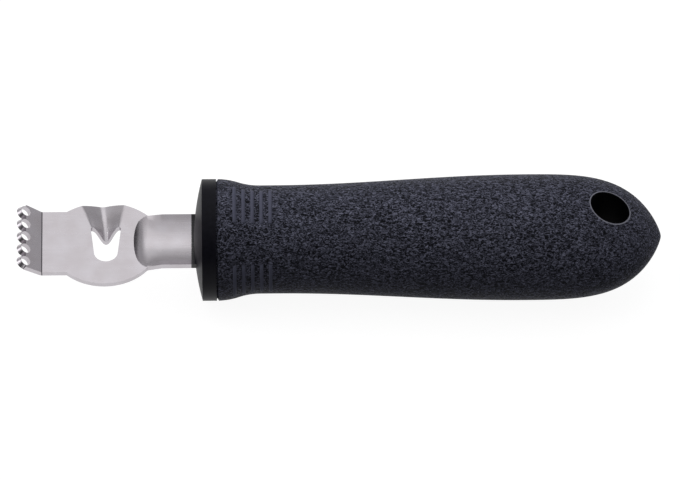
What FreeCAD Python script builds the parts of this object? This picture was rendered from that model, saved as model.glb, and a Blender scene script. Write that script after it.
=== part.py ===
import FreeCAD, Part
import Sketcher
import math
import os

# Citrus zester with a channel knife: a stamped stainless blade, a hard core with a round collar
# that holds its tang, and a soft grip moulded over the core. Millimetres and degrees.
#
# Every sub-part is drawn about the handle's axis, which is its own X axis, from the collar's front
# rim at X = 0: the blade runs to -X, the handle to +X, and +Z is the side the ringed end bends to.
# One placement, worked out from the sizes, then sets the whole tool down on Z = 0 with the origin
# under the middle of its length.

doc = FreeCAD.newDocument("citrus_zester")

# Driving sizes.

SIZES = [
    # Sheet and the flat part of the blade.
    ("plate_thickness", 1.2),
    ("plate_drop", 0.3),
    ("neck_half_width", 9.45),
    ("bend_reach", 38.4),
    ("neck_reach", 32.6),
    ("disc_reach", 23.6),
    ("disc_low_side", 13.05),
    ("disc_high_side", 12.25),
    # Ringed end.
    ("bend_angle", 33),
    ("bend_radius", 0.6),
    ("ring_reach", 4.35),
    ("ring_row_flare", 0.26),
    ("ring_pitch", 3.87),
    ("ring_count", 5),
    ("ring_hole_radius", 1.3),
    ("ring_outer_radius", 1.85),
    ("ring_edge_land", 0.12),
    # Channel knife: a gutter pressed down from the disc's edge to the lip.
    ("gutter_reach", 23.2),
    ("gutter_edge_half_width", 6.2),
    ("gutter_edge_lean", 0.92),
    ("gutter_edge_depth", 1.75),
    ("gutter_edge_shoulder", 2.2),
    ("gutter_edge_bottom", 2.2),
    ("gutter_middle_offset", 7.2),
    ("gutter_middle_half_width", 4.4),
    ("gutter_middle_lean", 0.3),
    ("gutter_middle_depth", 2.0),
    ("gutter_middle_shoulder", 1.8),
    ("gutter_middle_bottom", 1.5),
    ("gutter_lip_half_width", 2.9),
    ("gutter_lip_lean", 0),
    ("gutter_lip_depth", 3.35),
    ("gutter_lip_shoulder", 1.5),
    ("gutter_lip_bottom", 0.9),
    # Hole in front of the lip.
    ("lip_tip_offset", 2.6),
    ("lip_tip_radius", 1.2),
    ("lip_root_half_width", 2.25),
    ("hole_corner_offset", 3.95),
    ("hole_corner_radius", 0.68),
    ("hole_end_offset", 3.3),
    ("hole_end_radius", 2.85),
    # Shank and tang.
    ("shank_reach", 13.1),
    ("shank_start_half_width", 8.05),
    ("trough_depth", 1.65),
    ("trough_end_radius", 4.35),
    ("edge_rise", 0.65),
    ("edge_rise_length", 3.4),
    ("shank_half_width", 7.9),
    ("tang_start", 1.5),
    ("tang_depth", 46),
    ("tang_half_width", 5),
    ("tang_hole_radius", 2),
    ("tang_first_hole", 16),
    ("tang_hole_pitch", 18),
    ("tang_hole_count", 2),
    # Core and collar.
    ("collar_radius", 14.65),
    ("collar_width", 3.4),
    ("collar_dome", 2.0),
    ("mouth_gap", 0.35),
    ("mouth_depth", 1.2),
    ("core_radius", 9.4),
    ("core_length", 84),
    ("core_end_bevel", 3),
    # Grip.
    ("groove_width", 0.5),
    ("groove_depth", 1.0),
    ("flare_length", 10.5),
    ("waist_radius", 13.02),
    ("waist_end", 17.6),
    ("belly_reach", 77.6),
    ("belly_half_width", 15.71),
    ("belly_flattening", 1.41),
    ("tail_width_fullness", 4.43),
    ("tail_thickness_fullness", 2.78),
    ("tail_bluntness", 0.75),
    ("handle_length", 110.3),
    ("hang_hole_from_end", 12.3),
    ("hang_hole_radius", 4.63),
    # Ribs behind the collar.
    ("rib_first_reach", 7.8),
    ("rib_pitch", 2.15),
    ("rib_count", 5),
    ("rib_half_width", 0.5),
    ("rib_crest_half_width", 0.2),
    ("rib_height", 0.33),
    ("rib_span_angle", 48),
    ("rib_group_count", 4),
]

# How far cutting and joining shapes reach past what they cut or join, so that no faces coincide.
OVERLAP = 1
LIP_OVERLAP = 0.8
GROOVE_OVERLAP = 0.5
SWING_OVERLAP = 10
TRIM_HEIGHT = 5
TRIM_MARGIN = 30
RING_CUT_SHARE = 1.5

# Sections of the grip's loft along the belly and along the tail.
BELLY_STATIONS = 6
TAIL_STATIONS = 7

sheet = doc.addObject("Spreadsheet::Sheet", "Sizes")
for row, (alias, number) in enumerate(SIZES, start=1):
    sheet.set("A%d" % row, alias)
    sheet.set("B%d" % row, str(number))
    sheet.setAlias("B%d" % row, alias)
doc.recompute()


class Size:
    """A number with the expression that gives it from the sheet."""

    def __init__(self, value, text):
        self.value = value
        self.text = text

    def __add__(self, other):
        other = as_size(other)
        return Size(self.value + other.value, "(%s + %s)" % (self.text, other.text))

    def __sub__(self, other):
        other = as_size(other)
        return Size(self.value - other.value, "(%s - %s)" % (self.text, other.text))

    def __mul__(self, other):
        other = as_size(other)
        return Size(self.value * other.value, "(%s * %s)" % (self.text, other.text))

    def __truediv__(self, other):
        other = as_size(other)
        return Size(self.value / other.value, "(%s / %s)" % (self.text, other.text))

    def __neg__(self):
        return Size(-self.value, "(0 - %s)" % self.text)


def as_size(number):
    if isinstance(number, Size):
        return number
    return Size(float(number), "(%.6f)" % number)


def size(alias):
    """One cell of the sheet."""
    return Size(float(sheet.get(alias)), "Sizes.%s" % alias)


def root(number):
    return Size(math.sqrt(number.value), "sqrt(%s)" % number.text)


def power(base, exponent):
    return Size(base.value ** exponent.value, "pow(%s; %s)" % (base.text, exponent.text))


def sine(angle):
    return Size(math.sin(math.radians(angle.value)), "sin(%s)" % angle.text)


def cosine(angle):
    return Size(math.cos(math.radians(angle.value)), "cos(%s)" % angle.text)


def arcsine(ratio):
    return Size(math.degrees(math.asin(ratio.value)), "(asin(%s) / 1 deg)" % ratio.text)


def bind(item, prop, number):
    """Ties one property of an object to the sheet."""
    item.setExpression(prop, as_size(number).text)


# Sizes that several sub-parts share.

thickness = size("plate_thickness")
plate_top = -size("plate_drop")
plate_bottom = plate_top - thickness
bend_angle = size("bend_angle")
ring_pitch = size("ring_pitch")
row_half_length = ring_pitch * (size("ring_count") - 1) / 2
valley = plate_top - size("trough_depth")


def arc_radius(half_chord, rise):
    return (half_chord * half_chord + rise * rise) / (rise * 2)


start_half_width = size("shank_start_half_width")
start_radius = arc_radius(start_half_width, size("trough_depth"))
shank_half_width = size("shank_half_width")
shank_radius = arc_radius(shank_half_width, size("trough_depth") + size("edge_rise"))

# How far the ringed end reaches past the bend, and where the tool stands.
rings_run = ((size("ring_reach") + size("ring_outer_radius")) * cosine(bend_angle)
             + (size("bend_radius") + thickness) * sine(bend_angle))
stand_x = (size("bend_reach") + rings_run - size("handle_length")) / 2
stand_z = size("collar_radius")


def stand(item):
    """Sets a sub-part down in the tool's frame."""
    bind(item, "Placement.Base.x", stand_x)
    bind(item, "Placement.Base.z", stand_z)


# Helpers for bodies and sketches.

def new_body(name):
    body = doc.addObject("PartDesign::Body", name)
    body.Label = name
    stand(body)
    return body


def origin_feature(body, role):
    return next(item for item in body.Origin.OriginFeatures if item.Role == role)


def attach(item, body, role, offset):
    """Lays a sketch or primitive on an origin plane, with a bound offset along its three axes."""
    item.AttachmentSupport = [(origin_feature(body, role), "")]
    item.MapMode = "FlatFace"
    for axis, number in zip("xyz", offset):
        bind(item, "AttachmentOffset.Base.%s" % axis, number)


class Drawing:
    """A sketch whose points and radii are tied to the sheet."""

    def __init__(self, body, name, role, offset=(0, 0, 0)):
        self.sketch = body.newObject("Sketcher::SketchObject", name)
        attach(self.sketch, body, role, offset)
        self.ties = 0

    def tie(self, constraint, number):
        index = self.sketch.addConstraint(constraint)
        self.ties += 1
        name = "tie_%d" % self.ties
        self.sketch.renameConstraint(index, name)
        bind(self.sketch, "Constraints.%s" % name, number)

    def pin(self, edge, end, x, y):
        """Ties one point of an edge to a place."""
        x = as_size(x)
        y = as_size(y)
        self.tie(Sketcher.Constraint("DistanceX", edge, end, x.value), x)
        self.tie(Sketcher.Constraint("DistanceY", edge, end, y.value), y)

    def join(self, edge, end, other, other_end):
        self.sketch.addConstraint(Sketcher.Constraint("Coincident", edge, end, other, other_end))

    def smooth(self, edge, end, other, other_end):
        self.sketch.addConstraint(Sketcher.Constraint("Tangent", edge, end, other, other_end))

    def radius(self, edge, number):
        self.tie(Sketcher.Constraint("Radius", edge, number.value), number)

    def line(self, start, finish):
        return self.sketch.addGeometry(Part.LineSegment(point(start), point(finish)), False)

    def arc(self, centre, radius, first, last):
        """An arc that runs counter-clockwise from the first angle to the last, in degrees."""
        circle = Part.Circle(point(centre), FreeCAD.Vector(0, 0, 1), value(radius))
        return self.sketch.addGeometry(
            Part.ArcOfCircle(circle, math.radians(first), math.radians(last)), False)

    def arc_through(self, start, middle, finish):
        return self.sketch.addGeometry(
            Part.Arc(point(start), point(middle), point(finish)), False)

    def hole(self, x, y, radius):
        """A whole circle."""
        edge = self.sketch.addGeometry(
            Part.Circle(point((x, y)), FreeCAD.Vector(0, 0, 1), value(radius)), False)
        self.pin(edge, 3, x, y)
        self.radius(edge, radius)
        return edge

    def chain(self, corners):
        """A closed outline of straight edges through pinned corners."""
        count = len(corners)
        edges = [self.line(corners[i], corners[(i + 1) % count]) for i in range(count)]
        for i, edge in enumerate(edges):
            self.pin(edge, 1, *corners[i])
            self.join(edges[i - 1], 2, edge, 1)
        return edges


def value(number):
    return as_size(number).value


def point(place):
    return FreeCAD.Vector(value(place[0]), value(place[1]), 0)


def check_states():
    doc.recompute()
    for item in doc.Objects:
        if "Invalid" in item.State or "Error" in item.State:
            raise RuntimeError("%s failed: %s" % (item.Name, item.State))


def pad(body, name, drawing, length, both_ways=False, reverse=False):
    feature = body.newObject("PartDesign::Pad", name)
    feature.Profile = drawing.sketch
    bind(feature, "Length", length)
    feature.Midplane = both_ways
    feature.Reversed = reverse
    return feature


def cut_features(body, name, kind, drawing, reverse=False):
    """A pocket or groove, checked for having taken material away."""
    feature = body.newObject("PartDesign::%s" % kind, name)
    feature.Profile = drawing.sketch
    feature.Reversed = reverse
    return feature


def expect_less(body, before, name):
    doc.recompute()
    if body.Shape.Volume >= before:
        raise RuntimeError("%s cut nothing" % name)


# Blade.

def outline(drawing):
    """The disc's edge, from the neck round to the shank and back."""
    neck = -size("neck_reach")
    shank = -size("shank_reach")
    peak = -size("disc_reach")
    half_neck = size("neck_half_width")
    corners = [(neck, -half_neck), (shank, -start_half_width), (shank, start_half_width), (neck, half_neck)]
    low_peak = (peak, -size("disc_low_side"))
    high_peak = (peak, size("disc_high_side"))
    low = drawing.arc_through(corners[0], low_peak, corners[1])
    root_line = drawing.line(corners[1], corners[2])
    high = drawing.arc_through(corners[2], high_peak, corners[3])
    neck_line = drawing.line(corners[3], corners[0])
    drawing.pin(root_line, 1, *corners[1])
    drawing.pin(root_line, 2, *corners[2])
    drawing.pin(neck_line, 1, *corners[3])
    drawing.pin(neck_line, 2, *corners[0])
    # Both arcs run counter-clockwise, so each starts at the corner that the last one left.
    drawing.join(low, 1, neck_line, 2)
    drawing.join(low, 2, root_line, 1)
    drawing.join(high, 1, root_line, 2)
    drawing.join(high, 2, neck_line, 1)
    for arc, peak_place in ((low, low_peak), (high, high_peak)):
        mark = drawing.sketch.addGeometry(Part.Point(point(peak_place)), True)
        drawing.pin(mark, 1, *peak_place)
        drawing.sketch.addConstraint(Sketcher.Constraint("PointOnObject", mark, 1, arc))


def gutter_section(drawing, station, below, level):
    """One station of the gutter: two shoulders and a rounded valley, joined by straight walls.

    below moves the whole curve down by that much of the sheet, and level closes the outline.
    """
    half_width = size("gutter_%s_half_width" % station)
    depth = size("gutter_%s_depth" % station)
    shoulder = size("gutter_%s_shoulder" % station)
    bottom = size("gutter_%s_bottom" % station)
    middle = -size("gutter_reach") - size("gutter_%s_lean" % station)
    shoulder_z = plate_top - shoulder
    bottom_z = plate_top - depth + bottom
    shoulder_radius = shoulder - below
    bottom_radius = bottom + below
    rise = value(shoulder_z - bottom_z)
    span = math.hypot(value(half_width), rise)
    slope = math.degrees(math.asin(value(shoulder + bottom) / span) + math.atan2(rise, value(half_width)))
    edge_z = plate_top - below

    left_centre = (middle - half_width, shoulder_z)
    right_centre = (middle + half_width, shoulder_z)
    bottom_centre = (middle, bottom_z)
    left = drawing.arc(left_centre, shoulder_radius, 90 - slope, 90)
    valley_arc = drawing.arc(bottom_centre, bottom_radius, 270 - slope, 270 + slope)
    right = drawing.arc(right_centre, shoulder_radius, 90, 90 + slope)
    ends = {}
    for edge in (left, valley_arc, right):
        curve = drawing.sketch.Geometry[edge]
        ends[edge] = ((curve.StartPoint.x, curve.StartPoint.y), (curve.EndPoint.x, curve.EndPoint.y))
    left_wall = drawing.line(ends[left][0], ends[valley_arc][0])
    right_wall = drawing.line(ends[valley_arc][1], ends[right][1])
    left_side = drawing.line((middle - half_width, level), (middle - half_width, edge_z))
    cover = drawing.line((middle + half_width, level), (middle - half_width, level))
    right_side = drawing.line((middle + half_width, edge_z), (middle + half_width, level))

    drawing.pin(left, 3, *left_centre)
    drawing.pin(valley_arc, 3, *bottom_centre)
    drawing.pin(right, 3, *right_centre)
    drawing.radius(left, shoulder_radius)
    drawing.radius(valley_arc, bottom_radius)
    drawing.radius(right, shoulder_radius)
    drawing.smooth(left, 1, left_wall, 1)
    drawing.smooth(left_wall, 2, valley_arc, 1)
    drawing.smooth(valley_arc, 2, right_wall, 1)
    drawing.smooth(right_wall, 2, right, 2)
    drawing.pin(left_side, 1, middle - half_width, level)
    drawing.pin(right_side, 2, middle + half_width, level)
    drawing.join(left_side, 2, left, 2)
    drawing.join(right_side, 1, right, 1)
    drawing.join(cover, 1, right_side, 2)
    drawing.join(cover, 2, left_side, 1)
    drawing.tie(Sketcher.Constraint("DistanceX", left_side, 2, value(middle - half_width)),
                middle - half_width)
    drawing.tie(Sketcher.Constraint("DistanceX", right_side, 1, value(middle + half_width)),
                middle + half_width)


def gutter_loft(body, name, kind, below, level):
    """The gutter's solid between its three stations, from past the disc's edge to past the lip."""
    stations = [
        ("edge", size("disc_high_side") + OVERLAP),
        ("middle", size("gutter_middle_offset")),
        ("lip", size("lip_tip_offset") - LIP_OVERLAP),
    ]
    drawings = []
    for station, offset in stations:
        drawing = Drawing(body, "%s_%s" % (name, station), "XZ_Plane", (0, 0, -offset))
        gutter_section(drawing, station, below, level)
        drawings.append(drawing)
    feature = body.newObject("PartDesign::%s" % kind, name)
    feature.Profile = drawings[0].sketch
    feature.Sections = [drawing.sketch for drawing in drawings[1:]]
    feature.Ruled = False
    return feature


def trough_end_profile(drawing, below, level):
    """The trough's rounded end along its length, at one face of the sheet, closed at a level."""
    shank = -size("shank_reach")
    end_radius = size("trough_end_radius")
    radius = end_radius + below
    centre = (shank, valley + end_radius)
    drop = centre[1] - level
    run = root(radius * radius - drop * drop)
    start_angle = math.degrees(math.atan2(-value(drop), -value(run)))
    arc = drawing.arc(centre, radius, start_angle % 360, 270)
    top = drawing.line((shank - run, level), (shank, level))
    back = drawing.line((shank, level), (shank, valley - below))
    drawing.pin(arc, 3, *centre)
    drawing.radius(arc, radius)
    drawing.pin(top, 2, shank, level)
    drawing.tie(Sketcher.Constraint("DistanceX", back, 2, value(shank)), shank)
    drawing.join(top, 2, back, 1)
    drawing.join(back, 2, arc, 2)
    drawing.join(arc, 1, top, 1)
    drawing.sketch.addConstraint(Sketcher.Constraint("Horizontal", top))
    axis_z = valley + start_radius
    axis = drawing.line((shank - run, axis_z), (shank, axis_z))
    drawing.sketch.toggleConstruction(axis)
    drawing.pin(axis, 1, shank - run, axis_z)
    drawing.pin(axis, 2, shank, axis_z)


def trough_section(drawing, half_width, radius, grow=0):
    """The sheet's section across the trough: two arcs about one centre, cut off upright."""
    inner = radius - grow
    outer = radius + thickness + grow
    half = half_width + grow
    centre = (0, valley + radius)
    inner_drop = root(inner * inner - half * half)
    outer_drop = root(outer * outer - half * half)
    inner_swing = math.degrees(math.asin(value(half) / value(inner)))
    outer_swing = math.degrees(math.asin(value(half) / value(outer)))
    inner_arc = drawing.arc(centre, inner, 270 - inner_swing, 270 + inner_swing)
    outer_arc = drawing.arc(centre, outer, 270 - outer_swing, 270 + outer_swing)
    right = drawing.line((half, centre[1] - inner_drop), (half, centre[1] - outer_drop))
    left = drawing.line((-half, centre[1] - outer_drop), (-half, centre[1] - inner_drop))
    for arc, arc_radius_value in ((inner_arc, inner), (outer_arc, outer)):
        drawing.pin(arc, 3, *centre)
        drawing.radius(arc, arc_radius_value)
    drawing.join(right, 1, inner_arc, 2)
    drawing.join(right, 2, outer_arc, 2)
    drawing.join(left, 1, outer_arc, 1)
    drawing.join(left, 2, inner_arc, 1)
    for edge, end, x in ((right, 1, half), (right, 2, half), (left, 1, -half), (left, 2, -half)):
        drawing.tie(Sketcher.Constraint("DistanceX", edge, end, value(x)), x)


def lip_hole(drawing):
    """The hole under the gutter's lip: a round far end, flaring sides, and the lip's tongue."""
    middle = -size("gutter_reach")
    end_radius = size("hole_end_radius")
    end_y = -size("hole_end_offset")
    corner = size("hole_corner_radius")
    corner_x = size("lip_root_half_width") + corner
    corner_y = size("hole_corner_offset")
    tip_radius = size("lip_tip_radius")
    tip_y = size("lip_tip_offset") + tip_radius

    # Directions of the straight runs, for a first placing that the constraints then hold.
    side_span = math.hypot(value(corner_x), value(corner_y - end_y))
    side_lean = (math.atan2(value(corner_x), value(corner_y - end_y))
                 + math.asin(value(corner - end_radius) / side_span))
    side_angle = -math.degrees(side_lean)
    tongue_span = math.hypot(value(corner_x), value(corner_y - tip_y))
    tongue_angle = math.degrees(math.asin(value(corner + tip_radius) / tongue_span)
                                + math.atan2(value(corner_y - tip_y), value(corner_x)))

    end = drawing.arc((middle, end_y), end_radius, 180 - side_angle, 360 + side_angle)
    right_corner = drawing.arc((middle + corner_x, corner_y), corner, side_angle, 90 + tongue_angle)
    tip = drawing.arc((middle, tip_y), tip_radius, 270 - tongue_angle, 270 + tongue_angle)
    left_corner = drawing.arc((middle - corner_x, corner_y), corner, 90 - tongue_angle, 180 - side_angle)

    def ends(edge):
        curve = drawing.sketch.Geometry[edge]
        return (curve.StartPoint.x, curve.StartPoint.y), (curve.EndPoint.x, curve.EndPoint.y)

    right_side = drawing.line(ends(end)[1], ends(right_corner)[0])
    right_slope = drawing.line(ends(right_corner)[1], ends(tip)[1])
    left_slope = drawing.line(ends(tip)[0], ends(left_corner)[0])
    left_side = drawing.line(ends(left_corner)[1], ends(end)[0])
    for edge, centre, radius in ((end, (middle, end_y), end_radius),
                                 (right_corner, (middle + corner_x, corner_y), corner),
                                 (tip, (middle, tip_y), tip_radius),
                                 (left_corner, (middle - corner_x, corner_y), corner)):
        drawing.pin(edge, 3, *centre)
        drawing.radius(edge, radius)
    drawing.smooth(end, 2, right_side, 1)
    drawing.smooth(right_side, 2, right_corner, 1)
    drawing.smooth(right_corner, 2, right_slope, 1)
    drawing.smooth(right_slope, 2, tip, 2)
    drawing.smooth(tip, 1, left_slope, 1)
    drawing.smooth(left_slope, 2, left_corner, 1)
    drawing.smooth(left_corner, 2, left_side, 1)
    drawing.smooth(left_side, 2, end, 1)


def strip_profile(drawing):
    """The neck, the bend and the strip that carries the rings, seen from the side."""
    inner = size("bend_radius")
    outer = inner + thickness
    bend = -size("bend_reach")
    neck = -size("neck_reach") + OVERLAP
    centre_z = plate_top + inner
    reach = size("ring_reach")
    sin_bend = sine(bend_angle)
    cos_bend = cosine(bend_angle)
    turn = value(bend_angle)

    def along(radius):
        """The strip's end at a given distance from the bend's centre."""
        return (bend - radius * sin_bend - reach * cos_bend, centre_z - radius * cos_bend + reach * sin_bend)

    def after_bend(radius):
        return (bend - radius * sin_bend, centre_z - radius * cos_bend)

    corners = [(neck, plate_top), (neck, plate_bottom), (bend, plate_bottom), after_bend(outer),
               along(outer), along(inner), after_bend(inner), (bend, plate_top)]
    right = drawing.line(corners[0], corners[1])
    bottom = drawing.line(corners[1], corners[2])
    outer_arc = drawing.arc((bend, centre_z), outer, 270 - turn, 270)
    strip_bottom = drawing.line(corners[3], corners[4])
    end = drawing.line(corners[4], corners[5])
    strip_top = drawing.line(corners[5], corners[6])
    inner_arc = drawing.arc((bend, centre_z), inner, 270 - turn, 270)
    top = drawing.line(corners[7], corners[0])
    drawing.pin(right, 1, *corners[0])
    drawing.pin(right, 2, *corners[1])
    drawing.pin(outer_arc, 3, bend, centre_z)
    drawing.pin(inner_arc, 3, bend, centre_z)
    drawing.pin(end, 1, *corners[4])
    drawing.pin(end, 2, *corners[5])
    drawing.pin(bottom, 2, *corners[2])
    drawing.pin(top, 1, *corners[7])
    drawing.tie(Sketcher.Constraint("DistanceX", strip_bottom, 1, value(corners[3][0])), corners[3][0])
    drawing.tie(Sketcher.Constraint("DistanceX", strip_top, 2, value(corners[6][0])), corners[6][0])
    drawing.join(right, 2, bottom, 1)
    drawing.join(bottom, 2, outer_arc, 2)
    drawing.join(outer_arc, 1, strip_bottom, 1)
    drawing.join(strip_bottom, 2, end, 1)
    drawing.join(end, 2, strip_top, 1)
    drawing.join(strip_top, 2, inner_arc, 1)
    drawing.join(inner_arc, 2, top, 1)
    drawing.join(top, 2, right, 1)


def on_strip(radius):
    """The first ring's centre, at a distance from the bend's centre, and the strip's tilt."""
    return (-size("bend_reach") - radius * sine(bend_angle) - size("ring_reach") * cosine(bend_angle),
            -row_half_length,
            plate_top + size("bend_radius") - radius * cosine(bend_angle)
            + size("ring_reach") * sine(bend_angle))


def tilt_with_strip(item):
    item.AttachmentOffset = FreeCAD.Placement(
        FreeCAD.Vector(0, 0, 0), FreeCAD.Rotation(FreeCAD.Vector(0, 1, 0), value(bend_angle)))
    bind(item, "AttachmentOffset.Rotation.Angle", bend_angle)


def repeat(body, name, feature, count, length):
    """Copies a feature along the blade's width."""
    pattern = body.newObject("PartDesign::LinearPattern", name)
    pattern.Originals = [feature]
    pattern.Direction = (origin_feature(body, "Y_Axis"), [""])
    bind(pattern, "Length", length)
    bind(pattern, "Occurrences", count)
    body.Tip = pattern
    return pattern


def build_blade():
    body = new_body("blade")

    # The disc, flat at first, with the lumps that become the pressed forms.
    disc_drawing = Drawing(body, "disc_outline", "XY_Plane", (0, 0, plate_top))
    outline(disc_drawing)
    pad(body, "disc", disc_drawing, thickness, reverse=True)

    lump = Drawing(body, "trough_end_outer", "XZ_Plane")
    trough_end_profile(lump, thickness, plate_top - thickness / 2)
    swing = arcsine(start_half_width / start_radius) * 2
    trough_lump = body.newObject("PartDesign::Revolution", "trough_end_lump")
    trough_lump.Profile = lump.sketch
    trough_lump.ReferenceAxis = (lump.sketch, ["Axis0"])
    trough_lump.Midplane = True
    bind(trough_lump, "Angle", swing)

    gutter_loft(body, "gutter_lump", "AdditiveLoft", thickness, plate_top - thickness / 2)
    check_states()

    # Trim to the disc's outline, and to the plate's upper face.
    before = body.Shape.Volume
    trim_drawing = Drawing(body, "trim_outline", "XY_Plane", (0, 0, plate_top))
    outline(trim_drawing)
    far_side = -size("neck_reach") - TRIM_MARGIN
    trim_drawing.chain([(far_side, -TRIM_MARGIN), (TRIM_MARGIN, -TRIM_MARGIN),
                        (TRIM_MARGIN, TRIM_MARGIN), (far_side, TRIM_MARGIN)])
    trim = cut_features(body, "trim_round_disc", "Pocket", trim_drawing)
    trim.Type = "ThroughAll"
    trim.Midplane = True
    expect_less(body, before, "trim_round_disc")

    before = body.Shape.Volume
    top_drawing = Drawing(body, "trim_top_outline", "XY_Plane", (0, 0, plate_top))
    top_drawing.chain([(-size("neck_reach"), -start_half_width * 2), (-size("shank_reach"), -start_half_width * 2),
                       (-size("shank_reach"), start_half_width * 2), (-size("neck_reach"), start_half_width * 2)])
    trim_top = cut_features(body, "trim_above_disc", "Pocket", top_drawing, reverse=True)
    bind(trim_top, "Length", TRIM_HEIGHT)
    expect_less(body, before, "trim_above_disc")

    # Press the trough's end and the gutter down, then pierce the hole.
    before = body.Shape.Volume
    dent = Drawing(body, "trough_end_inner", "XZ_Plane")
    trough_end_profile(dent, as_size(0), plate_top + OVERLAP)
    groove = cut_features(body, "trough_end", "Groove", dent)
    groove.ReferenceAxis = (dent.sketch, ["Axis0"])
    groove.Midplane = True
    bind(groove, "Angle", swing + SWING_OVERLAP)
    expect_less(body, before, "trough_end")

    before = body.Shape.Volume
    gutter_loft(body, "gutter", "SubtractiveLoft", as_size(0), plate_top + OVERLAP)
    expect_less(body, before, "gutter")

    before = body.Shape.Volume
    hole_drawing = Drawing(body, "lip_hole_outline", "XY_Plane", (0, 0, plate_top))
    lip_hole(hole_drawing)
    hole = cut_features(body, "lip_hole", "Pocket", hole_drawing)
    hole.Type = "ThroughAll"
    hole.Midplane = True
    expect_less(body, before, "lip_hole")

    # Shank: the trough's section, whose edges rise over a short length, then run on as the tang.
    first = Drawing(body, "shank_start", "YZ_Plane", (0, 0, -size("shank_reach")))
    trough_section(first, start_half_width, start_radius)
    second = Drawing(body, "shank_full", "YZ_Plane", (0, 0, size("edge_rise_length") - size("shank_reach")))
    trough_section(second, shank_half_width, shank_radius)
    shank_loft = body.newObject("PartDesign::AdditiveLoft", "shank_rise")
    shank_loft.Profile = first.sketch
    shank_loft.Sections = [second.sketch]
    third = Drawing(body, "shank_run", "YZ_Plane", (0, 0, size("edge_rise_length") - size("shank_reach")))
    trough_section(third, shank_half_width, shank_radius)
    run_length = size("shank_reach") - size("edge_rise_length") + size("tang_depth")
    pad(body, "shank_and_tang", third, run_length)
    doc.recompute()

    before = body.Shape.Volume
    tang_drawing = Drawing(body, "tang_sides", "XY_Plane")
    start = size("tang_start")
    finish = size("tang_depth") + OVERLAP
    half = size("tang_half_width")
    outside = shank_half_width + OVERLAP
    tang_drawing.chain([(start, half), (finish, half), (finish, outside), (start, outside)])
    tang_drawing.chain([(start, -outside), (finish, -outside), (finish, -half), (start, -half)])
    for number in range(int(value(size("tang_hole_count")))):
        tang_drawing.hole(size("tang_first_hole") + size("tang_hole_pitch") * number, 0, size("tang_hole_radius"))
    tang = cut_features(body, "tang", "Pocket", tang_drawing)
    tang.Type = "ThroughAll"
    tang.Midplane = True
    expect_less(body, before, "tang")

    # Ringed end.
    strip_drawing = Drawing(body, "strip_side", "XZ_Plane")
    strip_profile(strip_drawing)
    pad(body, "neck_and_strip", strip_drawing, size("neck_half_width") * 2, both_ways=True)
    doc.recompute()

    # The strip widens a little from the bend to the rings.
    ring_line = on_strip(size("bend_radius") + thickness)
    flare_drawing = Drawing(body, "strip_flare_outline", "XY_Plane")
    tilt_with_strip(flare_drawing.sketch)
    attach(flare_drawing.sketch, body, "XY_Plane", (ring_line[0], 0, ring_line[2]))
    half_neck = size("neck_half_width")
    for inside, neck_side, ring_side in (
            (half_neck - OVERLAP, half_neck, half_neck + size("ring_row_flare")),
            (-half_neck + OVERLAP, -half_neck, -half_neck - size("ring_row_flare"))):
        flare_drawing.chain([(0, inside), (size("ring_reach"), inside),
                             (size("ring_reach"), neck_side), (0, ring_side)])
    pad(body, "strip_flares", flare_drawing, thickness)
    doc.recompute()

    ring = body.newObject("PartDesign::AdditiveCone", "ring")
    tilt_with_strip(ring)
    attach(ring, body, "XY_Plane", on_strip(size("bend_radius") + thickness))
    bind(ring, "Radius1", size("ring_outer_radius"))
    bind(ring, "Radius2", size("ring_hole_radius") + size("ring_edge_land"))
    bind(ring, "Height", thickness)
    doc.recompute()
    repeat(body, "rings", ring, size("ring_count"), row_half_length * 2)
    doc.recompute()

    before = body.Shape.Volume
    ring_hole_drawing = Drawing(body, "ring_hole_outline", "XY_Plane")
    tilt_with_strip(ring_hole_drawing.sketch)
    attach(ring_hole_drawing.sketch, body, "XY_Plane", on_strip(size("bend_radius")))
    ring_hole_drawing.hole(0, 0, size("ring_hole_radius"))
    ring_hole = cut_features(body, "ring_hole", "Pocket", ring_hole_drawing)
    bind(ring_hole, "Length", thickness * RING_CUT_SHARE)
    doc.recompute()
    repeat(body, "ring_holes", ring_hole, size("ring_count"), row_half_length * 2)
    expect_less(body, before, "ring_holes")
    return body


# Core.

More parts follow.
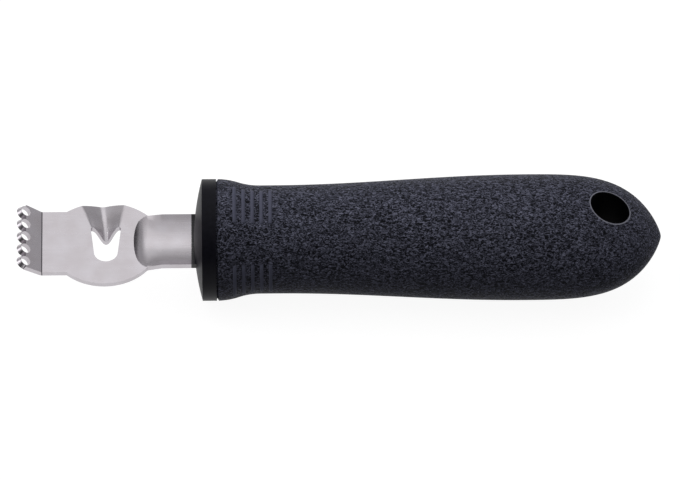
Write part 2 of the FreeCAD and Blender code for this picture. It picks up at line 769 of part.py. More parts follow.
def build_core_blank():
    """The core before the tang is set in it, turned about the handle's axis."""
    body = new_body("core_blank")
    profile = Drawing(body, "core_profile", "XZ_Plane")
    radius = size("collar_radius")
    dome = size("collar_dome")
    width = size("collar_width")
    length = size("core_length")
    core_radius = size("core_radius")
    bevel = size("core_end_bevel")
    dome_radius = arc_radius(radius, dome)
    dome_swing = math.degrees(math.asin(value(radius / dome_radius)))
    apex = (-dome, as_size(0))
    rim = (as_size(0), radius)
    back = (width, radius)
    front_arc = profile.arc((dome_radius - dome, 0), dome_radius, 180 - dome_swing, 180)
    side = profile.line(rim, back)
    back_line = profile.line(back, (width, core_radius))
    shaft = profile.line((width, core_radius), (length - bevel, core_radius))
    bevel_line = profile.line((length - bevel, core_radius), (length, core_radius - bevel))
    end_line = profile.line((length, core_radius - bevel), (length, 0))
    axis_line = profile.line((length, 0), apex)
    profile.pin(front_arc, 3, dome_radius - dome, 0)
    profile.pin(side, 1, *rim)
    profile.pin(side, 2, *back)
    profile.pin(shaft, 1, width, core_radius)
    profile.pin(shaft, 2, length - bevel, core_radius)
    profile.pin(bevel_line, 2, length, core_radius - bevel)
    profile.pin(axis_line, 1, length, 0)
    profile.tie(Sketcher.Constraint("DistanceY", axis_line, 2, 0.0), 0)
    for first, first_end, second, second_end in ((front_arc, 1, side, 1), (side, 2, back_line, 1),
                                                 (back_line, 2, shaft, 1), (shaft, 2, bevel_line, 1),
                                                 (bevel_line, 2, end_line, 1),
                                                 (end_line, 2, axis_line, 1), (axis_line, 2, front_arc, 2)):
        profile.join(first, first_end, second, second_end)
    turned = body.newObject("PartDesign::Revolution", "turned_core")
    turned.Profile = profile.sketch
    turned.ReferenceAxis = (origin_feature(body, "X_Axis"), [""])
    turned.Angle = 360
    doc.recompute()

    before = body.Shape.Volume
    mouth_drawing = Drawing(body, "mouth_outline", "YZ_Plane", (0, 0, -dome))
    trough_section(mouth_drawing, shank_half_width, shank_radius, size("mouth_gap"))
    mouth = cut_features(body, "mouth", "Pocket", mouth_drawing, reverse=True)
    bind(mouth, "Length", dome + size("mouth_depth"))
    expect_less(body, before, "mouth")
    return body


def build_core(core_blank, blade):
    core = doc.addObject("Part::Cut", "handle_core")
    core.Label = "handle_core"
    core.Base = core_blank
    core.Tool = blade
    return core


# Grip.

def across_handle(x):
    """A placement on the handle's axis, with its Z along the handle and its X across it."""
    turn = FreeCAD.Rotation(FreeCAD.Vector(0, 1, 0), FreeCAD.Vector(0, 0, 1), FreeCAD.Vector(1, 0, 0), "XYZ")
    return FreeCAD.Placement(FreeCAD.Vector(value(stand_x + x), 0, value(stand_z)), turn)


flare_height = size("collar_radius") - size("waist_radius")
flare_half_length = size("flare_length") / 2
flare_radius = arc_radius(flare_half_length, flare_height / 2)


def front_radius(x):
    """The turned front's radius at a place along it."""
    from_collar = x - size("collar_width")
    if from_collar.value >= value(size("flare_length")):
        return size("waist_radius")
    if from_collar.value <= value(flare_half_length):
        drop = flare_radius - root(flare_radius * flare_radius - from_collar * from_collar)
        return size("collar_radius") - drop
    to_waist = size("flare_length") - from_collar
    return size("waist_radius") + flare_radius - root(flare_radius * flare_radius - to_waist * to_waist)


def build_grip_front():
    """The round front of the grip, turned: two equal arcs lead from the collar's size to the waist."""
    body = new_body("grip_front")
    profile = Drawing(body, "grip_front_profile", "XZ_Plane")
    front = size("collar_width")
    radius = size("collar_radius")
    waist = size("waist_radius")
    finish = size("waist_end")
    middle = front + flare_half_length
    middle_radius = (radius + waist) / 2
    flare_end = front + size("flare_length")
    swing = math.degrees(math.asin(value(flare_half_length / flare_radius)))
    shoulder = profile.arc((front, radius - flare_radius), flare_radius, 90 - swing, 90)
    hollow = profile.arc((flare_end, waist + flare_radius), flare_radius, 270 - swing, 270)
    run = profile.line((flare_end, waist), (finish, waist))
    back = profile.line((finish, waist), (finish, 0))
    axis = profile.line((finish, 0), (front, 0))
    face = profile.line((front, 0), (front, radius))
    profile.pin(shoulder, 3, front, radius - flare_radius)
    profile.pin(shoulder, 1, middle, middle_radius)
    profile.tie(Sketcher.Constraint("DistanceX", shoulder, 2, value(front)), front)
    profile.pin(hollow, 3, flare_end, waist + flare_radius)
    profile.tie(Sketcher.Constraint("DistanceX", hollow, 2, value(flare_end)), flare_end)
    profile.join(hollow, 1, shoulder, 1)
    profile.join(hollow, 2, run, 1)
    profile.pin(run, 2, finish, waist)
    profile.join(run, 2, back, 1)
    profile.pin(axis, 1, finish, 0)
    profile.pin(axis, 2, front, 0)
    profile.join(back, 2, axis, 1)
    profile.join(axis, 2, face, 1)
    profile.join(face, 2, shoulder, 2)
    turned = body.newObject("PartDesign::Revolution", "turned_grip_front")
    turned.Profile = profile.sketch
    turned.ReferenceAxis = (origin_feature(body, "X_Axis"), [""])
    turned.Angle = 360
    doc.recompute()

    # One group of ribs, swept part of the way round and repeated.
    ribs_profile = Drawing(body, "rib_profile", "XZ_Plane")
    for number in range(int(value(size("rib_count")))):
        x = size("rib_first_reach") + size("rib_pitch") * number
        surface = front_radius(x)
        foot = surface - size("rib_height")
        crest = surface + size("rib_height")
        foot_half = size("rib_half_width")
        crest_half = size("rib_crest_half_width")
        ribs_profile.chain([(x - foot_half * 2 + crest_half, foot), (x + foot_half * 2 - crest_half, foot),
                            (x + crest_half, crest), (x - crest_half, crest)])
    ribs = body.newObject("PartDesign::Revolution", "ribs")
    ribs.Profile = ribs_profile.sketch
    ribs.ReferenceAxis = (origin_feature(body, "X_Axis"), [""])
    ribs.Midplane = True
    bind(ribs, "Angle", size("rib_span_angle"))
    doc.recompute()
    groups = body.newObject("PartDesign::PolarPattern", "rib_groups")
    groups.Originals = [ribs]
    groups.Axis = (origin_feature(body, "X_Axis"), [""])
    groups.Angle = 360
    bind(groups, "Occurrences", size("rib_group_count"))
    body.Tip = groups
    return body


def grip_stations():
    """Places along the belly and tail, with the grip's half width and half thickness there."""
    waist = size("waist_radius")
    waist_end = size("waist_end")
    belly = size("belly_reach")
    half_width = size("belly_half_width")
    half_thickness = half_width - size("belly_flattening")
    stations = []
    for i in range(BELLY_STATIONS):
        step = i / BELLY_STATIONS
        share = (1 - math.cos(math.pi * step)) / 2
        stations.append((waist_end + (belly - waist_end) * step,
                         waist + (half_width - waist) * share,
                         waist + (half_thickness - waist) * share))
    for i in range(TAIL_STATIONS):
        step = math.sin(math.pi / 2 * i / TAIL_STATIONS)
        stations.append((belly + (size("handle_length") - belly) * step,
                         half_width * tail_share(step, size("tail_width_fullness")),
                         half_thickness * tail_share(step, size("tail_thickness_fullness"))))
    return stations


def tail_share(step, fullness):
    """How much of the belly's size is left at a step from 0 to 1 along the tail."""
    return power(as_size(1) - power(as_size(step), fullness), size("tail_bluntness"))


def build_grip(core_blank):
    sections = []
    for number, (x, half_width, half_thickness) in enumerate(grip_stations()):
        ring = doc.addObject("Part::Ellipse", "grip_section_%d" % number)
        ring.Placement = across_handle(x)
        bind(ring, "Placement.Base.x", stand_x + x)
        bind(ring, "Placement.Base.z", stand_z)
        bind(ring, "MajorRadius", half_width)
        bind(ring, "MinorRadius", half_thickness)
        sections.append(ring)
    tail = doc.addObject("Part::Vertex", "grip_tail")
    bind(tail, "X", stand_x + size("handle_length"))
    bind(tail, "Z", stand_z)
    sections.append(tail)
    loft = doc.addObject("Part::Loft", "grip_form")
    loft.Sections = sections
    loft.Solid = True
    loft.Ruled = False
    doc.recompute()
    ribbed = doc.addObject("Part::MultiFuse", "ribbed_grip")
    ribbed.Shapes = [build_grip_front(), loft]
    doc.recompute()

    groove_start = size("collar_width") - GROOVE_OVERLAP
    groove_sides = []
    for name, radius in (("groove_outside", size("collar_radius") + OVERLAP),
                         ("groove_inside", size("collar_radius") - size("groove_depth"))):
        disc = doc.addObject("Part::Cylinder", name)
        disc.Placement = across_handle(groove_start)
        bind(disc, "Placement.Base.x", stand_x + groove_start)
        bind(disc, "Placement.Base.z", stand_z)
        bind(disc, "Radius", radius)
        bind(disc, "Height", size("groove_width") + GROOVE_OVERLAP)
        groove_sides.append(disc)
    groove_ring = doc.addObject("Part::Cut", "groove_ring")
    groove_ring.Base, groove_ring.Tool = groove_sides

    hang_hole = doc.addObject("Part::Cylinder", "hang_hole")
    bind(hang_hole, "Placement.Base.x", stand_x + size("handle_length") - size("hang_hole_from_end"))
    bind(hang_hole, "Radius", size("hang_hole_radius"))
    bind(hang_hole, "Height", stand_z * 2)

    tools = doc.addObject("Part::MultiFuse", "grip_cutters")
    tools.Shapes = [core_blank, groove_ring, hang_hole]
    grip = doc.addObject("Part::Cut", "soft_grip")
    grip.Label = "soft_grip"
    grip.Base = ribbed
    grip.Tool = tools
    return grip


blade = build_blade()
core_blank = build_core_blank()
nodes = [blade, build_core(core_blank, blade), build_grip(core_blank)]
check_states()

os.makedirs("parts", exist_ok=True)
for node in nodes:
    if node.Shape.isNull() or not node.Shape.isValid() or len(node.Shape.Solids) != 1:
        raise RuntimeError("%s is not one valid solid" % node.Label)
    node.Shape.exportStep("parts/%s.step" % node.Label)
    box = node.Shape.BoundBox
    print("%-12s %8.1f mm3  x %.2f %.2f  y %.2f %.2f  z %.2f %.2f" % (
        node.Label, node.Shape.Volume, box.XMin, box.XMax, box.YMin, box.YMax, box.ZMin, box.ZMax))
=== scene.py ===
import math

import bmesh
import bpy
from mathutils import Matrix, Vector


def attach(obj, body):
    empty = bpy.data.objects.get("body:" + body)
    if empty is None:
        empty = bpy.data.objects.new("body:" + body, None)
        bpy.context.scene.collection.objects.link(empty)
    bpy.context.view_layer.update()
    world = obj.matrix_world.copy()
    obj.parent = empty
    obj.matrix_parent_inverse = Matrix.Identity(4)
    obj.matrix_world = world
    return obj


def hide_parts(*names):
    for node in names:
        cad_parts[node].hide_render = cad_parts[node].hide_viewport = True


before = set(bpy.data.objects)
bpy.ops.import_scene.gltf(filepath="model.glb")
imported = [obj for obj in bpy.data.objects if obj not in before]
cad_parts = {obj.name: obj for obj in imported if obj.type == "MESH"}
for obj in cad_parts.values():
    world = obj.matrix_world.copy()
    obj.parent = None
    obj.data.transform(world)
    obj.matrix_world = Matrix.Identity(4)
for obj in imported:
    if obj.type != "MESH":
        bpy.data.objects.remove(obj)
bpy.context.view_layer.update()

# Citrus zester with a channel knife. Metres, in the CAD frame: the ringed end points to -X, the
# handle's axis runs along X, and the side that the ringed end bends to is up.

MM = 0.001
COLLAR_FRONT_X = -32.8599 * MM
AXIS_Z = 14.65 * MM

# Blade: the fold under the rings, and the start of the painted shade of the gap where the blade
# goes into the collar.
FOLD_X = -71.45 * MM
FOLD_SHADE_HALF_WIDTH = 0.13 * MM
COLLAR_GAP_SHADE_X = -35.5 * MM

# Grip. Lengths are in millimetres, and places along the handle are from the collar's front.
# The groove is shallower than the CAD piece's, whose sizes are followed elsewhere.
COLUMNS = 120
COLLAR_RADIUS = 14.65
COLLAR_WIDTH = 3.4
GROOVE_WIDTH = 0.5
GROOVE_DEPTH = 0.6
GROOVE_FLOOR = 0.12
FLARE_LENGTH = 10.5
WAIST_RADIUS = 13.02
WAIST_END = 17.6
BELLY_REACH = 77.6
BELLY_HALF_WIDTH = 15.71
BELLY_HALF_THICKNESS = 14.3
TAIL_WIDTH_FULLNESS = 4.43
TAIL_THICKNESS_FULLNESS = 2.78
TAIL_BLUNTNESS = 0.75
HANDLE_LENGTH = 110.3
CORE_RADIUS = 9.4
CORE_LENGTH = 84
CORE_BEVEL = 3

# Ribs: a row of them along the handle, in groups round it. A group's span is in degrees.
RIB_FIRST_REACH = 7.8
RIB_PITCH = 2.15
RIB_COUNT = 5
RIB_GROUPS = 4
RIB_SPAN = 48
RIB_HEIGHT = 0.33
RIB_HALF_WIDTH = 0.5
# A rib's rounded section: places across it and the share of its height there.
RIB_SECTION = [(-RIB_HALF_WIDTH, 0.0), (-0.36, 0.55), (-0.16, 0.95),
               (0.16, 0.95), (0.36, 0.55), (RIB_HALF_WIDTH, 0.0)]
# The part of a rib that is smooth and painted light as a highlight: its half width, and the share
# of its span.
RIB_TOP_HALF_WIDTH = 0.34
RIB_TOP_SPAN_SHARE = 0.9

# Hanging hole, the rounding of its mouths, the reach of the painted shade on its wall, and the
# painted highlight ring round each mouth.
HANG_HOLE_FROM_END = 12.3
HANG_HOLE_RADIUS = 4.63
HANG_HOLE_X = COLLAR_FRONT_X + (HANDLE_LENGTH - HANG_HOLE_FROM_END) * MM
HOLE_SIDES = 96
HOLE_CUTTER_LENGTH = 40
RIM_ROUNDING = 0.4
RIM_SEGMENTS = 3
SHADED_WALL_MARGIN = 0.06
RIM_HIGHLIGHT_MARGIN = 0.2
RIM_HIGHLIGHT_HALF_WIDTH = 0.14

# Rings of points along the grip: steps between groove and ribs, along the belly, and in the tail.
FLARE_STEPS = (0, 0.12, 0.5, 1.0, 1.7, 2.4, 3.1)
BELLY_STEP = 2.0
TAIL_STEPS = 34

# How near points have to be to count as one, as in one row, and as on the hole's wall.
MERGE_DISTANCE = 0.001 * MM
ROW_TOLERANCE = 0.01 * MM
WALL_TOLERANCE = 0.02 * MM
# The bore lies well inside this share of the grip's radius, and the outer skin outside it.
OUTER_SKIN_SHARE = 0.9

# Edges of the copied pieces. Radii are in millimetres and angles in degrees.
STEEL_EDGE_RADIUS = 0.1
PLASTIC_EDGE_RADIUS = 0.2
EDGE_SEGMENTS = 2
COPY_MERGE_DISTANCE = 0.002 * MM
COPLANAR_ANGLE = 0.5
SHARP_ANGLE = 40
HOLE_MOUTH_ANGLE = 35
COPY_SMOOTH_ANGLE = 35
ROUNDED_SMOOTH_ANGLE = 50
GRIP_SMOOTH_ANGLE = 32
FACE_AREA_WEIGHT = 100

# Paper floor, just below the part.
FLOOR_SIZE = 6
FLOOR_Z = -0.00005

# Each lamp's name, place, size and power. Both point at the origin.
LAMPS = [("overhead_softbox", (-0.1, 0.2, 0.8), (1.0, 0.8), 0.95),
         ("left_softbox", (-0.7, 0.05, 0.4), (0.4, 0.4), 0.9)]

# The room is light high up behind the object and dim in front. Its colour follows the dot product
# of a direction with the way to the light side: white there, darker round that, then light again.
ROOM_LIGHT_SIDE = (-0.1, 0.62, 0.78)
ROOM_COLOURS = [(0.0, (0.05, 0.0495, 0.0505)), (0.5, (0.62, 0.6138, 0.6262)),
                (0.8, (0.4, 0.396, 0.404)), (1.0, (1.0, 1.0, 1.0))]

# Camera. PIXEL is the length on the handle that one pixel of the photograph shows.
CAMERA_ELEVATION = 50
CAMERA_DISTANCE = 4.0
CAMERA_CLIP = (0.01, 20)
PHOTO_WIDTH_PX = 680
PIXEL = 0.2405 * MM
CENTRE_X = 0.253 * MM
CENTRE_UP = -0.29 * MM
ROLL = 0.507


# Materials.

def linear(hex_colour):
    """An sRGB hex colour as linear RGBA."""
    parts = [int(hex_colour[i:i + 2], 16) / 255 for i in (1, 3, 5)]
    return [p / 12.92 if p <= 0.04045 else ((p + 0.055) / 1.055) ** 2.4 for p in parts] + [1.0]


def add_node(owner, kind, inputs=None, **settings):
    """One shader node of a material or a world.

    inputs says by name or number what goes in: another node's output or a constant. A name in
    settings is a property of the node or, where it has none of that name, an input.
    """
    node = owner.node_tree.nodes.new(kind)
    for name, value in settings.items():
        if hasattr(node, name):
            setattr(node, name, value)
        else:
            node.inputs[name.replace("_", " ")].default_value = value
    for name, value in (inputs or {}).items():
        if isinstance(value, bpy.types.NodeSocket):
            owner.node_tree.links.new(value, node.inputs[name])
        else:
            node.inputs[name].default_value = value
    return node


def new_material(name):
    material = bpy.data.materials.new(name)
    material.use_nodes = True
    material.node_tree.nodes.clear()
    return material


def noise(material, place, **settings):
    return add_node(material, "ShaderNodeTexNoise", {"Vector": place}, **settings).outputs["Fac"]


def calculate(material, operation, *values):
    """The result of one maths node on other nodes' outputs and constants."""
    node = add_node(material, "ShaderNodeMath", dict(enumerate(values)), operation=operation)
    return node.outputs["Value"]


def remap(material, value, **ends):
    """A value moved from one span to another and held at the ends. A span not given is 0 to 1."""
    return add_node(material, "ShaderNodeMapRange", {"Value": value}, **ends).outputs["Result"]


def tones(material, value, *stops):
    """A colour that runs between two stops, each a value and its colour."""
    ramp = add_node(material, "ShaderNodeValToRGB", {"Fac": value})
    for element, (position, colour) in zip(ramp.color_ramp.elements, stops):
        element.position = position
        element.color = linear(colour)
    return ramp.outputs["Color"]


def paint_over(material, mask, under, colour):
    """A colour laid over another where a mask is 1."""
    mix = add_node(material, "ShaderNodeMix", {"Factor": mask, 6: under, 7: linear(colour)},
                   data_type="RGBA")
    return mix.outputs[2]


def stainless_sheet():
    """Stainless strip steel, rolled and finely brushed: satin, with soft scratches along X."""
    material = new_material("satin_stainless_sheet")
    place = add_node(material, "ShaderNodeTexCoord").outputs["Object"]
    # The brush marks are about 8 mm long and 0.4 mm wide, with finer ones of 0.05 mm in them.
    along = add_node(material, "ShaderNodeMapping", {"Vector": place}, Scale=(120, 2600, 2600))
    marks = noise(material, along.outputs["Vector"], Scale=1.0, Detail=3.0)
    # The tone comes and goes over about 4 mm.
    cloud = noise(material, place, Scale=260.0, Detail=4.0)
    tint = tones(material, cloud, (0.35, "#b9b4b8"), (0.7, "#c0bcc1"))
    # A fine dark line of painted shade lies along the fold under the rings.
    along_x = add_node(material, "ShaderNodeSeparateXYZ", {"Vector": place}).outputs["X"]
    fold_shade_mask = calculate(material, "COMPARE", along_x, FOLD_X, FOLD_SHADE_HALF_WIDTH)
    fold_shaded = paint_over(material, fold_shade_mask, tint, "#5d5a5e")
    # The blade is painted black and not metallic where it goes into the collar: painted shade of
    # the gap there.
    collar_gap_shade = calculate(material, "GREATER_THAN", along_x, COLLAR_GAP_SHADE_X)
    gap_shaded = paint_over(material, collar_gap_shade, fold_shaded, "#121218")
    outside_gap_shade = calculate(material, "SUBTRACT", 1.0, collar_gap_shade)
    rough = remap(material, marks, To_Min=0.24, To_Max=0.33)
    bump = add_node(material, "ShaderNodeBump", {"Height": marks}, Strength=0.12, Distance=0.00002)
    metal = add_node(material, "ShaderNodeBsdfPrincipled",
                     {"Base Color": gap_shaded, "Roughness": rough, "Metallic": outside_gap_shade,
                      "Normal": bump.outputs["Normal"]})
    add_node(material, "ShaderNodeOutputMaterial", {"Surface": metal.outputs["BSDF"]})
    return material


def hard_plastic():
    """Injection moulded black nylon: smooth, with a low blue-black gloss."""
    material = new_material("moulded_black_nylon")
    place = add_node(material, "ShaderNodeTexCoord").outputs["Object"]
    # Its tone, gloss and faint unevenness change over about 1 mm.
    cloud = noise(material, place, Scale=900.0, Detail=5.0)
    tint = tones(material, cloud, (0.3, "#101017"), (0.75, "#181820"))
    rough = remap(material, cloud, To_Min=0.38, To_Max=0.5)
    bump = add_node(material, "ShaderNodeBump", {"Height": cloud}, Strength=0.15, Distance=0.00003)
    plastic = add_node(material, "ShaderNodeBsdfPrincipled",
                       {"Base Color": tint, "Roughness": rough, "Normal": bump.outputs["Normal"]},
                       IOR=1.5, Specular_IOR_Level=0.08)
    add_node(material, "ShaderNodeOutputMaterial", {"Surface": plastic.outputs["BSDF"]})
    return material


def rib_mask(material, place):
    """1 on the tops of the ribs behind the collar and 0 elsewhere."""
    parts = add_node(material, "ShaderNodeSeparateXYZ", {"Vector": place}).outputs
    first = COLLAR_FRONT_X + RIB_FIRST_REACH * MM
    middle = first + RIB_PITCH * (RIB_COUNT - 1) / 2 * MM
    from_first = calculate(material, "SUBTRACT", parts["X"], first)
    from_rib = calculate(material, "PINGPONG", from_first, RIB_PITCH / 2 * MM)
    band = remap(material, from_rib, From_Min=RIB_TOP_HALF_WIDTH * MM,
                 From_Max=RIB_HALF_WIDTH * MM, To_Min=1.0, To_Max=0.0)
    reach = calculate(material, "COMPARE", parts["X"], middle, RIB_PITCH * RIB_COUNT / 2 * MM)
    height = calculate(material, "SUBTRACT", parts["Z"], AXIS_Z)
    angle = calculate(material, "ARCTAN2", height, parts["Y"])
    from_group = calculate(material, "PINGPONG", angle, math.pi / RIB_GROUPS)
    half_span = math.radians(RIB_SPAN / 2)
    span = remap(material, from_group, From_Min=half_span * RIB_TOP_SPAN_SHARE,
                 From_Max=half_span, To_Min=1.0, To_Max=0.0)
    in_row = calculate(material, "MULTIPLY", band, reach)
    return calculate(material, "MULTIPLY", in_row, span)


def grained_rubber():
    """Thermoplastic rubber moulded in an etched tool: a fine leather grain, charcoal black."""
    material = new_material("grained_thermoplastic_rubber")
    place = add_node(material, "ShaderNodeTexCoord").outputs["Object"]
    # Wrinkles are about 0.8 mm apart and lie a little along the handle.
    along = add_node(material, "ShaderNodeMapping", {"Vector": place}, Scale=(0.55, 1.0, 1.0))
    wrinkles = noise(material, along.outputs["Vector"],
                     Scale=2500.0, Detail=1.5, Roughness=0.5, Distortion=1.4)
    # The grain's pattern is the rubber's own, but its crests are painted light as highlight and
    # its pits dark as shade.
    tint = tones(material, wrinkles, (0.44, "#17181d"), (0.72, "#7f8195"))
    # The tops of the ribs are smoother than the grip round them, and painted a little lighter as a
    # highlight.
    ribs = rib_mask(material, place)
    rib_highlighted = paint_over(material, ribs, tint, "#5f6172")
    # The hanging hole is smooth inside and painted dark there as shade, with a painted highlight
    # round its rim.
    from_hole = add_node(material, "ShaderNodeMapping", {"Vector": place},
                         Location=(-HANG_HOLE_X, 0, 0), Scale=(1, 1, 0))
    radius = add_node(material, "ShaderNodeVectorMath", {0: from_hole.outputs["Vector"]},
                      operation="LENGTH").outputs["Value"]
    rim = calculate(material, "COMPARE", radius, (HANG_HOLE_RADIUS + RIM_HIGHLIGHT_MARGIN) * MM,
                    RIM_HIGHLIGHT_HALF_WIDTH * MM)
    rim_highlighted = paint_over(material, rim, rib_highlighted, "#8a8b96")
    inside = calculate(material, "LESS_THAN", radius, (HANG_HOLE_RADIUS + SHADED_WALL_MARGIN) * MM)
    hole_shaded = paint_over(material, inside, rim_highlighted, "#0b0b0e")
    smooth = calculate(material, "MAXIMUM", ribs, inside)
    grain = remap(material, smooth, To_Min=1.0, To_Max=0.15)
    bump = add_node(material, "ShaderNodeBump", {"Height": wrinkles, "Strength": grain},
                    Distance=0.0002)
    # The gloss comes and goes over about 2 cm.
    sheen = noise(material, place, Scale=60.0, Detail=2.0)
    rough = remap(material, sheen, To_Min=0.42, To_Max=0.6)
    rubber = add_node(material, "ShaderNodeBsdfPrincipled",
                      {"Base Color": hole_shaded, "Roughness": rough, "Normal": bump.outputs["Normal"]},
                      IOR=1.5, Specular_IOR_Level=0.03)
    add_node(material, "ShaderNodeOutputMaterial", {"Surface": rubber.outputs["BSDF"]})
    return material


def seamless_floor():
    """White paper sweep: it shows white to the camera and in gloss, and keeps a soft shadow."""
    material = new_material("white_paper_sweep")
    rays = add_node(material, "ShaderNodeLightPath").outputs
    paper = add_node(material, "ShaderNodeBsdfDiffuse", Color=linear("#808080"))
    glow = add_node(material, "ShaderNodeEmission", Color=(1, 1, 1, 1), Strength=0.93)
    dark = add_node(material, "ShaderNodeEmission", Color=(0, 0, 0, 1), Strength=0.0)
    gloss = calculate(material, "MAXIMUM", rays["Is Camera Ray"], rays["Is Glossy Ray"])
    seen = calculate(material, "MAXIMUM", gloss, rays["Is Transmission Ray"])
    added = add_node(material, "ShaderNodeMixShader",
                     {0: seen, 1: dark.outputs["Emission"], 2: glow.outputs["Emission"]})
    both = add_node(material, "ShaderNodeAddShader",
                    {0: paper.outputs["BSDF"], 1: added.outputs["Shader"]})
    add_node(material, "ShaderNodeOutputMaterial", {"Surface": both.outputs["Shader"]})
    return material


def dress(obj, material):
    obj.data.materials.clear()
    obj.data.materials.append(material)


# Grip.

def grip_size(x):
    """Half width and half thickness of the grip at a place along it."""
    run = x - COLLAR_WIDTH
    if run < FLARE_LENGTH:
        # Two equal arcs, the first rounding over and the second hollow.
        half_length = FLARE_LENGTH / 2
        half_drop = (COLLAR_RADIUS - WAIST_RADIUS) / 2
        bend = (half_length ** 2 + half_drop ** 2) / (2 * half_drop)
        if run <= half_length:
            radius = COLLAR_RADIUS - bend + math.sqrt(bend ** 2 - run ** 2)
        else:
            radius = WAIST_RADIUS + bend - math.sqrt(bend ** 2 - (FLARE_LENGTH - run) ** 2)
        return radius, radius
    if x <= WAIST_END:
        return WAIST_RADIUS, WAIST_RADIUS
    if x <= BELLY_REACH:
        share = (1 - math.cos(math.pi * (x - WAIST_END) / (BELLY_REACH - WAIST_END))) / 2
        return (WAIST_RADIUS + (BELLY_HALF_WIDTH - WAIST_RADIUS) * share,
                WAIST_RADIUS + (BELLY_HALF_THICKNESS - WAIST_RADIUS) * share)
    step = (x - BELLY_REACH) / (HANDLE_LENGTH - BELLY_REACH)
    return (BELLY_HALF_WIDTH * (1 - step ** TAIL_WIDTH_FULLNESS) ** TAIL_BLUNTNESS,
            BELLY_HALF_THICKNESS * (1 - step ** TAIL_THICKNESS_FULLNESS) ** TAIL_BLUNTNESS)


def grip_rows():
    """Places along the grip that get a ring of points, from the groove to the tail."""
    rows = [COLLAR_WIDTH + GROOVE_WIDTH + step for step in FLARE_STEPS]
    for number in range(RIB_COUNT):
        middle = RIB_FIRST_REACH + RIB_PITCH * number
        rows += [middle + across for across, _ in RIB_SECTION] + [middle + RIB_PITCH / 2]
    x = WAIST_END
    while x < BELLY_REACH:
        rows.append(x)
        x += BELLY_STEP
    for number in range(TAIL_STEPS):
        # The rings draw closer together towards the tail's end.
        share = math.sin(math.pi / 2 * (number / TAIL_STEPS))
        rows.append(BELLY_REACH + (HANDLE_LENGTH - BELLY_REACH) * share)
    return rows


def select_only(obj):
    bpy.ops.object.select_all(action="DESELECT")
    bpy.context.view_layer.objects.active = obj
    obj.select_set(True)


def push_ring(x_from, size_from, x_to, size_to):
    """Extrudes the selected ring of edges along the handle and resizes it, both in millimetres."""
    move = ((x_to - x_from) * MM, 0, 0)
    bpy.ops.mesh.extrude_edges_move(TRANSFORM_OT_translate={"value": move})
    bpy.ops.transform.resize(value=(1, size_to[0] / size_from[0], size_to[1] / size_from[1]),
                             center_override=(0, 0, AXIS_Z))


def raise_ribs(grip):
    """Lifts the points of each rib away from the handle's axis, in groups round it."""
    group = 360 / RIB_GROUPS
    reach = RIB_SPAN / 2 - 360 / COLUMNS / 2
    for number in range(RIB_COUNT):
        for across, share in RIB_SECTION:
            if share == 0:
                continue
            x = RIB_FIRST_REACH + RIB_PITCH * number + across
            radius = grip_size(x)[0]
            mesh = bmesh.from_edit_mesh(grip.data)
            for vertex in mesh.verts:
                place = vertex.co
                angle = math.degrees(math.atan2(place.z - AXIS_Z, place.y)) % group
                from_axis = math.hypot(place.y, place.z - AXIS_Z)
                vertex.select = (abs(place.x - (COLLAR_FRONT_X + x * MM)) < ROW_TOLERANCE
                                 and min(angle, group - angle) < reach
                                 and from_axis > radius * OUTER_SKIN_SHARE * MM)
            mesh.select_flush_mode()
            bmesh.update_edit_mesh(grip.data)
            grow = (radius + RIB_HEIGHT * share) / radius
            bpy.ops.transform.resize(value=(1, grow, grow), center_override=(0, 0, AXIS_Z))


def round_hole_rim(grip):
    """Rounds both mouths of the hanging hole, whose edges stand at its radius from its middle."""
    bpy.ops.object.mode_set(mode="EDIT")
    bpy.ops.mesh.select_mode(type="EDGE")
    bpy.ops.mesh.select_all(action="DESELECT")
    mesh = bmesh.from_edit_mesh(grip.data)
    for edge in mesh.edges:
        radii = [math.hypot(v.co.x - HANG_HOLE_X, v.co.y) for v in edge.verts]
        on_wall = all(abs(radius - HANG_HOLE_RADIUS * MM) < WALL_TOLERANCE for radius in radii)
        if (on_wall and edge.is_manifold
                and edge.calc_face_angle() > math.radians(HOLE_MOUTH_ANGLE)):
            edge.select = True
    mesh.select_flush_mode()
    bmesh.update_edit_mesh(grip.data)
    bpy.ops.mesh.bevel(offset=RIM_ROUNDING * MM, segments=RIM_SEGMENTS, profile=0.5,
                       affect="EDGES", clamp_overlap=True)
    bpy.ops.object.mode_set(mode="OBJECT")


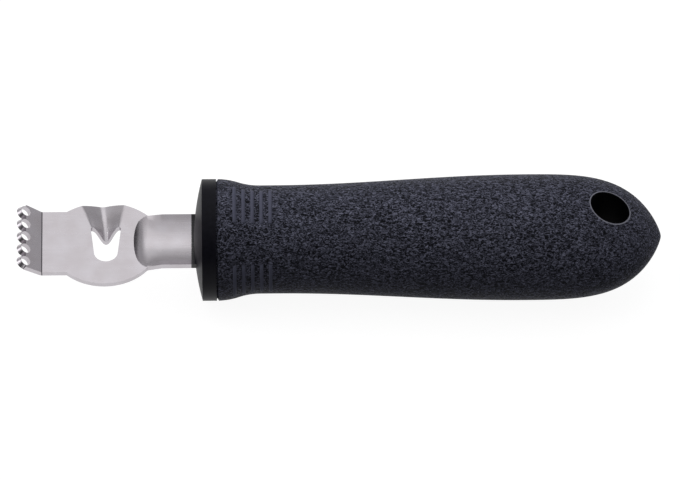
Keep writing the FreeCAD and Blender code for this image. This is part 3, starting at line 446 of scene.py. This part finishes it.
def build_grip():
    """The soft grip as one closed skin: bore, front rim, ribbed flare, belly, tail and hole."""
    inner = CORE_RADIUS - CORE_BEVEL
    rim = COLLAR_RADIUS - GROOVE_DEPTH
    bore_end = CORE_LENGTH - CORE_BEVEL
    path = [(CORE_LENGTH, (inner, inner)), (bore_end, (CORE_RADIUS, CORE_RADIUS)),
            (COLLAR_WIDTH, (CORE_RADIUS, CORE_RADIUS)), (COLLAR_WIDTH, (rim, rim)),
            (COLLAR_WIDTH + GROOVE_FLOOR, (rim, rim))]
    path += [(x, grip_size(x)) for x in grip_rows()]

    bpy.ops.object.select_all(action="DESELECT")
    bpy.ops.mesh.primitive_circle_add(vertices=COLUMNS, radius=inner * MM, fill_type="NGON",
                                      rotation=(math.pi / 2, 0, math.pi / 2),
                                      location=(COLLAR_FRONT_X + CORE_LENGTH * MM, 0, AXIS_Z))
    grip = bpy.context.object
    grip.name = "grip_moulding"
    bpy.ops.object.transform_apply(location=True, rotation=True, scale=True)
    bpy.ops.object.mode_set(mode="EDIT")
    bpy.ops.mesh.select_mode(type="EDGE")
    bpy.ops.mesh.select_all(action="SELECT")
    for (x_from, size_from), (x_to, size_to) in zip(path, path[1:]):
        push_ring(x_from, size_from, x_to, size_to)
    bpy.ops.mesh.edge_face_add()
    raise_ribs(grip)
    bpy.ops.mesh.select_all(action="SELECT")
    bpy.ops.mesh.remove_doubles(threshold=MERGE_DISTANCE)
    bpy.ops.mesh.normals_make_consistent(inside=False)
    bpy.ops.object.mode_set(mode="OBJECT")

    bpy.ops.object.select_all(action="DESELECT")
    bpy.ops.mesh.primitive_cylinder_add(vertices=HOLE_SIDES, radius=HANG_HOLE_RADIUS * MM,
                                        depth=HOLE_CUTTER_LENGTH * MM,
                                        location=(HANG_HOLE_X, 0, AXIS_Z))
    cutter = bpy.context.object
    select_only(grip)
    hole = grip.modifiers.new("hang_hole", "BOOLEAN")
    hole.operation = "DIFFERENCE"
    hole.solver = "EXACT"
    hole.object = cutter
    bpy.ops.object.modifier_apply(modifier=hole.name)
    bpy.data.objects.remove(cutter)
    round_hole_rim(grip)
    bpy.ops.object.shade_smooth_by_angle(angle=math.radians(GRIP_SMOOTH_ANGLE))
    dress(grip, grained_rubber())
    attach(grip, "root")
    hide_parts("soft_grip")


# Blade and collar.

def soften_edges(node_name, piece_name, material, radius):
    """A copy of a CAD piece with its sharp edges rounded by a radius in millimetres."""
    piece = bpy.data.objects.new(piece_name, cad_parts[node_name].data.copy())
    bpy.context.scene.collection.objects.link(piece)
    select_only(piece)
    bpy.ops.object.mode_set(mode="EDIT")
    bpy.ops.mesh.select_all(action="SELECT")
    bpy.ops.mesh.remove_doubles(threshold=COPY_MERGE_DISTANCE)
    bpy.ops.mesh.customdata_custom_splitnormals_clear()
    bpy.ops.mesh.dissolve_limited(angle_limit=math.radians(COPLANAR_ANGLE))
    bpy.ops.object.mode_set(mode="OBJECT")
    bpy.ops.object.shade_smooth_by_angle(angle=math.radians(COPY_SMOOTH_ANGLE))
    edges = piece.modifiers.new("rounded_edges", "BEVEL")
    edges.width = radius * MM
    edges.segments = EDGE_SEGMENTS
    edges.limit_method = "ANGLE"
    edges.angle_limit = math.radians(SHARP_ANGLE)
    edges.use_clamp_overlap = True
    bpy.ops.object.modifier_apply(modifier=edges.name)
    bpy.ops.object.shade_smooth_by_angle(angle=math.radians(ROUNDED_SMOOTH_ANGLE))
    # The large faces' own normals win over those of the narrow rounded ones beside them.
    flats = piece.modifiers.new("flat_faces_stay_flat", "WEIGHTED_NORMAL")
    flats.mode = "FACE_AREA"
    flats.weight = FACE_AREA_WEIGHT
    flats.keep_sharp = True
    bpy.ops.object.modifier_apply(modifier=flats.name)
    dress(piece, material)
    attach(piece, "root")
    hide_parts(node_name)


# Floor, light and camera.

def stage_floor():
    bpy.ops.mesh.primitive_plane_add(size=FLOOR_SIZE, location=(0, 0, FLOOR_Z))
    floor = bpy.context.object
    floor.name = "paper_floor"
    dress(floor, seamless_floor())


def hang_lamp(name, place, size, watts):
    light = bpy.data.lights.new(name, "AREA")
    light.shape = "RECTANGLE"
    light.size, light.size_y = size
    light.energy = watts
    lamp = bpy.data.objects.new(name, light)
    bpy.context.scene.collection.objects.link(lamp)
    lamp.location = place
    lamp.rotation_euler = (-Vector(place)).to_track_quat("-Z", "Y").to_euler()


def light_room():
    world = bpy.data.worlds.new("white_room")
    bpy.context.scene.world = world
    world.use_nodes = True
    world.node_tree.nodes.clear()
    way = add_node(world, "ShaderNodeTexCoord").outputs["Generated"]
    lean = add_node(world, "ShaderNodeVectorMath", {0: way, 1: ROOM_LIGHT_SIDE},
                    operation="DOT_PRODUCT")
    shade = add_node(world, "ShaderNodeValToRGB", {"Fac": lean.outputs["Value"]})
    stops = shade.color_ramp.elements
    # All stops are made before any is coloured, because a new stop moves those behind it.
    for share, _ in ROOM_COLOURS[1:-1]:
        stops.new(share)
    for stop, (_, colour) in zip(stops, ROOM_COLOURS):
        stop.color = (*colour, 1.0)
    room = add_node(world, "ShaderNodeBackground", {"Color": shade.outputs["Color"]}, Strength=1.0)
    add_node(world, "ShaderNodeOutputWorld", {"Surface": room.outputs["Background"]})
    for lamp_settings in LAMPS:
        hang_lamp(*lamp_settings)


def place_camera():
    """A long lens from well above, turned by half a degree as the photograph is."""
    elevation = math.radians(CAMERA_ELEVATION)
    back = Vector((0, -math.cos(elevation), math.sin(elevation)))
    up = Vector((0, math.sin(elevation), math.cos(elevation)))
    target = Vector((CENTRE_X, 0, AXIS_Z)) + up * CENTRE_UP
    data = bpy.data.cameras.new("camera")
    camera = bpy.data.objects.new("camera", data)
    bpy.context.scene.collection.objects.link(camera)
    camera.location = target + back * CAMERA_DISTANCE
    level = (-back).to_track_quat("-Z", "Y").to_matrix()
    camera.rotation_euler = (level @ Matrix.Rotation(math.radians(-ROLL), 3, "Z")).to_euler()
    data.lens = data.sensor_width * CAMERA_DISTANCE / (PHOTO_WIDTH_PX * PIXEL)
    data.clip_start, data.clip_end = CAMERA_CLIP
    bpy.context.scene.camera = camera


soften_edges("blade", "stamped_blade", stainless_sheet(), STEEL_EDGE_RADIUS)
soften_edges("handle_core", "collar_moulding", hard_plastic(), PLASTIC_EDGE_RADIUS)
build_grip()
stage_floor()
light_room()
place_camera()
bpy.context.scene.view_settings.view_transform = "Standard"
